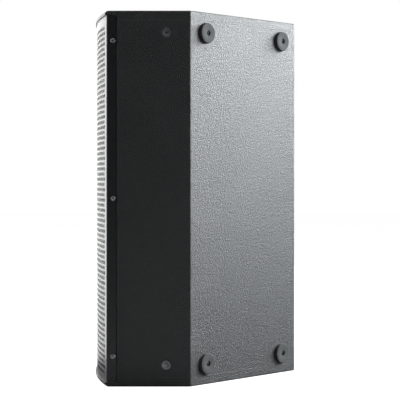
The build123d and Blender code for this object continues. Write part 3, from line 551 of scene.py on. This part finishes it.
def perforation_tree():
    """Flat sheet in the XY plane with staggered round holes, its front at height 0."""
    tree = Tree("perforated_sheet", [
        ("Width", "NodeSocketFloat"),
        ("Height", "NodeSocketFloat"),
        ("Columns", "NodeSocketInt"),
        ("Rows", "NodeSocketInt"),
        ("Column Pitch", "NodeSocketFloat"),
        ("Row Pitch", "NodeSocketFloat"),
        ("Row Shift", "NodeSocketFloat"),
        ("Hole Radius", "NodeSocketFloat"),
        ("Hole Sides", "NodeSocketInt"),
        ("Edge Steps", "NodeSocketInt"),
        ("Thickness", "NodeSocketFloat"),
        ("Material", "NodeSocketMaterial"),
    ])
    given = tree.inputs
    holes = hole_outlines(tree)
    curves = merged(tree, sheet_outline(tree), holes)
    front = tree.node("GeometryNodeFillCurve", {"Curve": curves}, mode="TRIANGLES")[0]
    depth = tree.node("ShaderNodeCombineXYZ", {"Z": tree.math("MULTIPLY", given["Thickness"], -1.0)})[0]
    pushed = tree.node("GeometryNodeExtrudeMesh", {"Mesh": front, "Offset": depth},
                       {"Offset Scale": 1.0, "Individual": False})["Mesh"]
    flipped = tree.node("GeometryNodeFlipFaces", {"Mesh": pushed})[0]
    shell = merged(tree, front, flipped)
    sealed = tree.node("GeometryNodeMergeByDistance", {"Geometry": shell}, {"Distance": SAME_POINT})[0]
    tree.finish(sealed, given["Material"])
    return tree


# ---------------------------------------------------------------- grille

ROW_PITCH = 0.00837
COLUMN_PITCH = ROW_PITCH / math.cos(math.radians(30))
HOLE_RADIUS = 0.00345
HOLE_ROWS = 67
ROW_DROP = -0.0025
HOLE_SIDES = 12
RIM_POINTS = 60
SOLID_EDGE = 0.0115
PANEL_EDGE = 0.002
FLANGE_CORNER = 0.005
FRONT_STEPS = 8
BEND_STEPS = 10
CORNER_STEPS = 8


def bend_circle():
    """Centre of the bend and the angle at which the front runs into it."""
    x = GRILLE_HALF - BEND_RADIUS
    reach = FRONT_RADIUS - BEND_RADIUS
    return x, ARC_Y - math.sqrt(reach ** 2 - x ** 2), math.asin(x / reach)


def edge_sections(start):
    """Outer point, outward angle and shortening at the ends, from the panel to the flange's edge."""
    x, y, turn = bend_circle()
    sections = []
    for k in range(FRONT_STEPS + 1):
        angle = start + (turn - start) * k / FRONT_STEPS
        sections.append((FRONT_RADIUS * math.sin(angle), ARC_Y - FRONT_RADIUS * math.cos(angle), angle, 0))
    for k in range(1, BEND_STEPS + 1):
        angle = turn + (math.pi / 2 - turn) * k / BEND_STEPS
        sections.append((x + BEND_RADIUS * math.sin(angle), y - BEND_RADIUS * math.cos(angle), angle, 0))
    for k in range(CORNER_STEPS + 1):
        lean = math.pi / 2 * k / CORNER_STEPS
        depth = GRILLE_HIGH.y - FLANGE_CORNER * (1 - math.sin(lean))
        sections.append((GRILLE_HALF, depth, math.pi / 2, FLANGE_CORNER * (1 - math.cos(lean))))
    return sections


def formed_edge(name, start, side):
    """Solid strip of the sheet with its bend and side flange."""
    vertices, faces = [], []
    sections = edge_sections(start)
    for x, y, angle, short in sections:
        out = Vector((math.sin(angle), -math.cos(angle), 0))
        outer = Vector((x, y, 0))
        inner = outer - out * SHEET
        for point, level in ((outer, GRILLE_LOW.z + short), (outer, GRILLE_HIGH.z - short),
                             (inner, GRILLE_HIGH.z - short), (inner, GRILLE_LOW.z + short)):
            vertices.append((side * point.x, point.y, level))
    for k in range(len(sections) - 1):
        for edge in range(4):
            a, b = 4 * k + edge, 4 * k + (edge + 1) % 4
            quad = (a, a + 4, b + 4, b)
            faces.append(quad if side > 0 else quad[::-1])
    last = 4 * (len(sections) - 1)
    caps = [(0, 1, 2, 3), (last + 3, last + 2, last + 1, last)]
    faces += caps if side > 0 else [cap[::-1] for cap in caps]
    return mesh_object(name, vertices, faces, 40)


def join(name, things, material):
    """One mesh object of one finish from several."""
    shape = bmesh.new()
    for thing in things:
        shape.from_mesh(thing.data)
    for face in shape.faces:
        face.material_index = 0
    mesh = bpy.data.meshes.new(name)
    shape.to_mesh(mesh)
    shape.free()
    mesh.materials.append(material)
    for thing in things:
        bpy.data.objects.remove(thing)
    joined = bpy.data.objects.new(name, mesh)
    bpy.context.scene.collection.objects.link(joined)
    return joined


def grille(material):
    """Perforated front bent round the cabinet's curve, with solid edges, bends and side flanges."""
    start = math.asin((GRILLE_HALF - SOLID_EDGE + PANEL_EDGE) / FRONT_RADIUS)
    width = 2 * FRONT_RADIUS * start
    height = GRILLE_HIGH.z - GRILLE_LOW.z
    room = width - 2 * PANEL_EDGE - 2 * HOLE_RADIUS - COLUMN_PITCH / 2
    columns = int(room / COLUMN_PITCH) + 1
    carrier = mesh_object("grille_carrier", [(0, 0, 0)], [])
    panel = run_tree(perforation_tree(), carrier, {
        "Width": width, "Height": height, "Columns": columns, "Rows": HOLE_ROWS,
        "Column Pitch": COLUMN_PITCH, "Row Pitch": ROW_PITCH, "Row Shift": ROW_DROP,
        "Hole Radius": HOLE_RADIUS, "Hole Sides": HOLE_SIDES, "Edge Steps": RIM_POINTS,
        "Thickness": SHEET, "Material": material,
    }, "grille_panel")
    middle = (GRILLE_LOW.z + GRILLE_HIGH.z) / 2
    for vertex in panel.data.vertices:
        flat = vertex.co.copy()
        radius = FRONT_RADIUS + flat.z
        angle = flat.x / FRONT_RADIUS
        vertex.co = (radius * math.sin(angle), ARC_Y - radius * math.cos(angle), middle + flat.y)
    edges = [formed_edge("grille_edge", start, side) for side in (1, -1)]
    sheet = join("perforated_grille", [panel] + edges, material)
    smooth(sheet, 35)
    return keep(sheet, "cabinet", "grille_steel", "grille")


# ---------------------------------------------------------------- feet and fasteners

def solids_of(node):
    """Vertices of each separate solid in a CAD node."""
    shape = bmesh.new()
    shape.from_mesh(NODES[node].data)
    bmesh.ops.remove_doubles(shape, verts=shape.verts, dist=SAME_POINT)
    seen, solids = set(), []
    for start in shape.verts:
        if start in seen:
            continue
        seen.add(start)
        found, queue = [], [start]
        while queue:
            vertex = queue.pop()
            found.append(vertex.co.copy())
            for edge in vertex.link_edges:
                other = edge.other_vert(vertex)
                if other not in seen:
                    seen.add(other)
                    queue.append(other)
        solids.append(found)
    shape.free()
    return solids


def tops(node, direction=None):
    """Where each solid's outer face meets its axis, with the way it faces: out of the side if not given."""
    places = []
    for points in solids_of(node):
        middle = sum(points, Vector()) / len(points)
        out = direction or Vector((math.copysign(1, middle.x), 0, 0))
        reach = max(point.dot(out) for point in points)
        places.append((middle + out * (reach - middle.dot(out)), out))
    return places


def angled_face_direction():
    """Outward direction of the face that carries the feet."""
    a, b, c = [sum(points, Vector()) / len(points) for points in solids_of("rubber_feet")[:3]]
    out = (b - a).cross(c - a).normalized()
    return out if out.x > 0 else -out


def millimetres(profile):
    """Profile given in millimetres, in metres; radius functions are in metres already."""
    return [(r if callable(r) else r / 1000, level / 1000) for r, level in profile]


def pan_head(name, radius, height, key, shank, length):
    """Domed socket screw with its crown at height 0."""
    recess = hexagon(key / 2000)
    lip = hexagon(key / 2000 + 0.00015)
    crown = [(radius * share, -height * 0.62 * share ** 2.4) for share in (0.55, 0.7, 0.82, 0.91, 0.97)]
    profile = [(recess, -height * 0.75), (recess, -0.15), (lip, 0)] + crown
    profile += [(radius, -height * 0.72), (radius, -height + 0.1), (radius - 0.1, -height)]
    profile += [(shank, -height), (shank, 0.5 - height - length), (shank * 0.6, -height - length)]
    return lathe(name, millimetres(profile), 36, 30)


def foot():
    """Moulded rubber foot with a slight taper, a rounded rim and a stepped screw bore."""
    rim = [(15.0, 0), (15.5, -0.07), (15.95, -0.3), (16.25, -0.65), (16.35, -1.1)]
    groove = [(12.9, 0), (13.1, -0.18), (13.7, -0.18), (13.9, 0)]
    side = [(16.7, -4.5), (16.8, -4.9), (16.8, -5.3), (16.6, -5.5)]
    bore = [(2.3, -5.5), (2.3, -3.9), (4.2, -3.9), (4.2, -0.5), (4.35, -0.15), (4.7, 0)]
    return turned_ring("foot", millimetres(groove + rim + side + bore), 48, 40)


def rigging_insert():
    """Threaded insert with a crowned flange set into the side."""
    flange = [(5.2, 0.25), (6.6, 0.2), (7.3, 0.02), (7.75, -0.35), (7.92, -0.8), (7.92, -1.5)]
    barrel = [(5.5, -1.5), (5.5, -14.8), (5.0, -15.0), (3.9, -15.0)]
    thread = []
    for k in range(11):
        level = -14.5 + 1.25 * k
        thread += [(3.4, level), (3.75, level + 0.55)]
    mouth = [(3.45, -0.6), (4.1, 0.05)]
    profile = flange + barrel + thread + mouth
    return turned_ring("rigging_insert", millimetres(profile), 32, 30)


def rigging_plug():
    """Socket plug that closes a rigging insert, with its face just under the flange."""
    recess = hexagon(0.002)
    lip = hexagon(0.0022)
    profile = [(recess, -3.0), (recess, -0.2), (lip, 0), (2.9, 0), (3.2, -0.15), (3.38, -0.5), (3.38, -9.5)]
    return lathe("rigging_plug", millimetres(profile), 36, 30)


def fasteners_and_feet(materials, tree):
    """Each set as name, one piece, finish, material slot, CAD node it replaces and the way it faces."""
    angled = angled_face_direction()
    sets = [
        ("grille_pan_screws", pan_head("screw", 3.8, 1.8, 2.5, 1.5, 13), "black_hardware", "black_hardware",
         "grille_screws", None),
        ("foot_pan_screws", pan_head("screw", 3.6, 2.2, 2.5, 2.0, 14), "foot_steel", "black_hardware",
         "foot_screws", angled),
        ("moulded_feet", foot(), "foot_rubber", "foot_rubber", "rubber_feet", angled),
        ("threaded_inserts", rigging_insert(), "black_hardware", "black_hardware", "rigging_inserts", None),
        ("socket_plugs", rigging_plug(), "black_hardware", "black_hardware", "rigging_plugs", None),
    ]
    for name, piece, finish, slot, node, direction in sets:
        made = copies(name, piece, tops(node, direction), materials[finish], tree)
        keep(made, "cabinet", slot, node)


# ---------------------------------------------------------------- handle

RIB_PITCH = 0.0036
BARE_ENDS = 0.016


def ribbed_grip(materials, tree):
    """Rubber sleeve on the handle's bar, with a rounded rib every few millimetres."""
    low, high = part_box("handle_bar")
    radius = (high.x - low.x) / 2
    axis = (low + high) / 2
    core = lathe("grip_core", [(radius * 0.93, high.z), (radius * 0.93, low.z)], 40)
    for vertex in core.data.vertices:
        vertex.co += Vector((axis.x, axis.y, 0))
    waist = RIB_PITCH / 2
    flank = [(radius * 0.9, waist * 0.85), (radius * 0.955, waist * 0.75), (radius * 0.99, waist * 0.42)]
    crest = flank + [(radius, 0)] + [(r, -level) for r, level in reversed(flank)]
    rib = turned_ring("rib", crest, 40, 50)
    for vertex in rib.data.vertices:
        vertex.co = (vertex.co.x, vertex.co.z, vertex.co.y)
    rib.data.flip_normals()
    count = int((high.z - low.z - BARE_ENDS) / RIB_PITCH)
    start = axis.z - RIB_PITCH * (count - 1) / 2
    places = [(Vector((axis.x, axis.y, start + RIB_PITCH * k)), (-1, 0, 0)) for k in range(count)]
    grip = materials["handle_grip"]
    ribs = copies("grip_ribs", rib, places, grip, tree, 50)
    sleeve = join("ribbed_handle_grip", [core, ribs], grip)
    smooth(sleeve, 50)
    keep(sleeve, "cabinet", "handle_grip", "handle_bar")


# ---------------------------------------------------------------- assembly

make_camera()
make_world()
make_floor()
make_lights()
MATERIALS = make_materials()
dress_frame(MATERIALS)
grille(MATERIALS["grille_steel"])
COPIES = copies_tree()
fasteners_and_feet(MATERIALS, COPIES)
ribbed_grip(MATERIALS, COPIES)
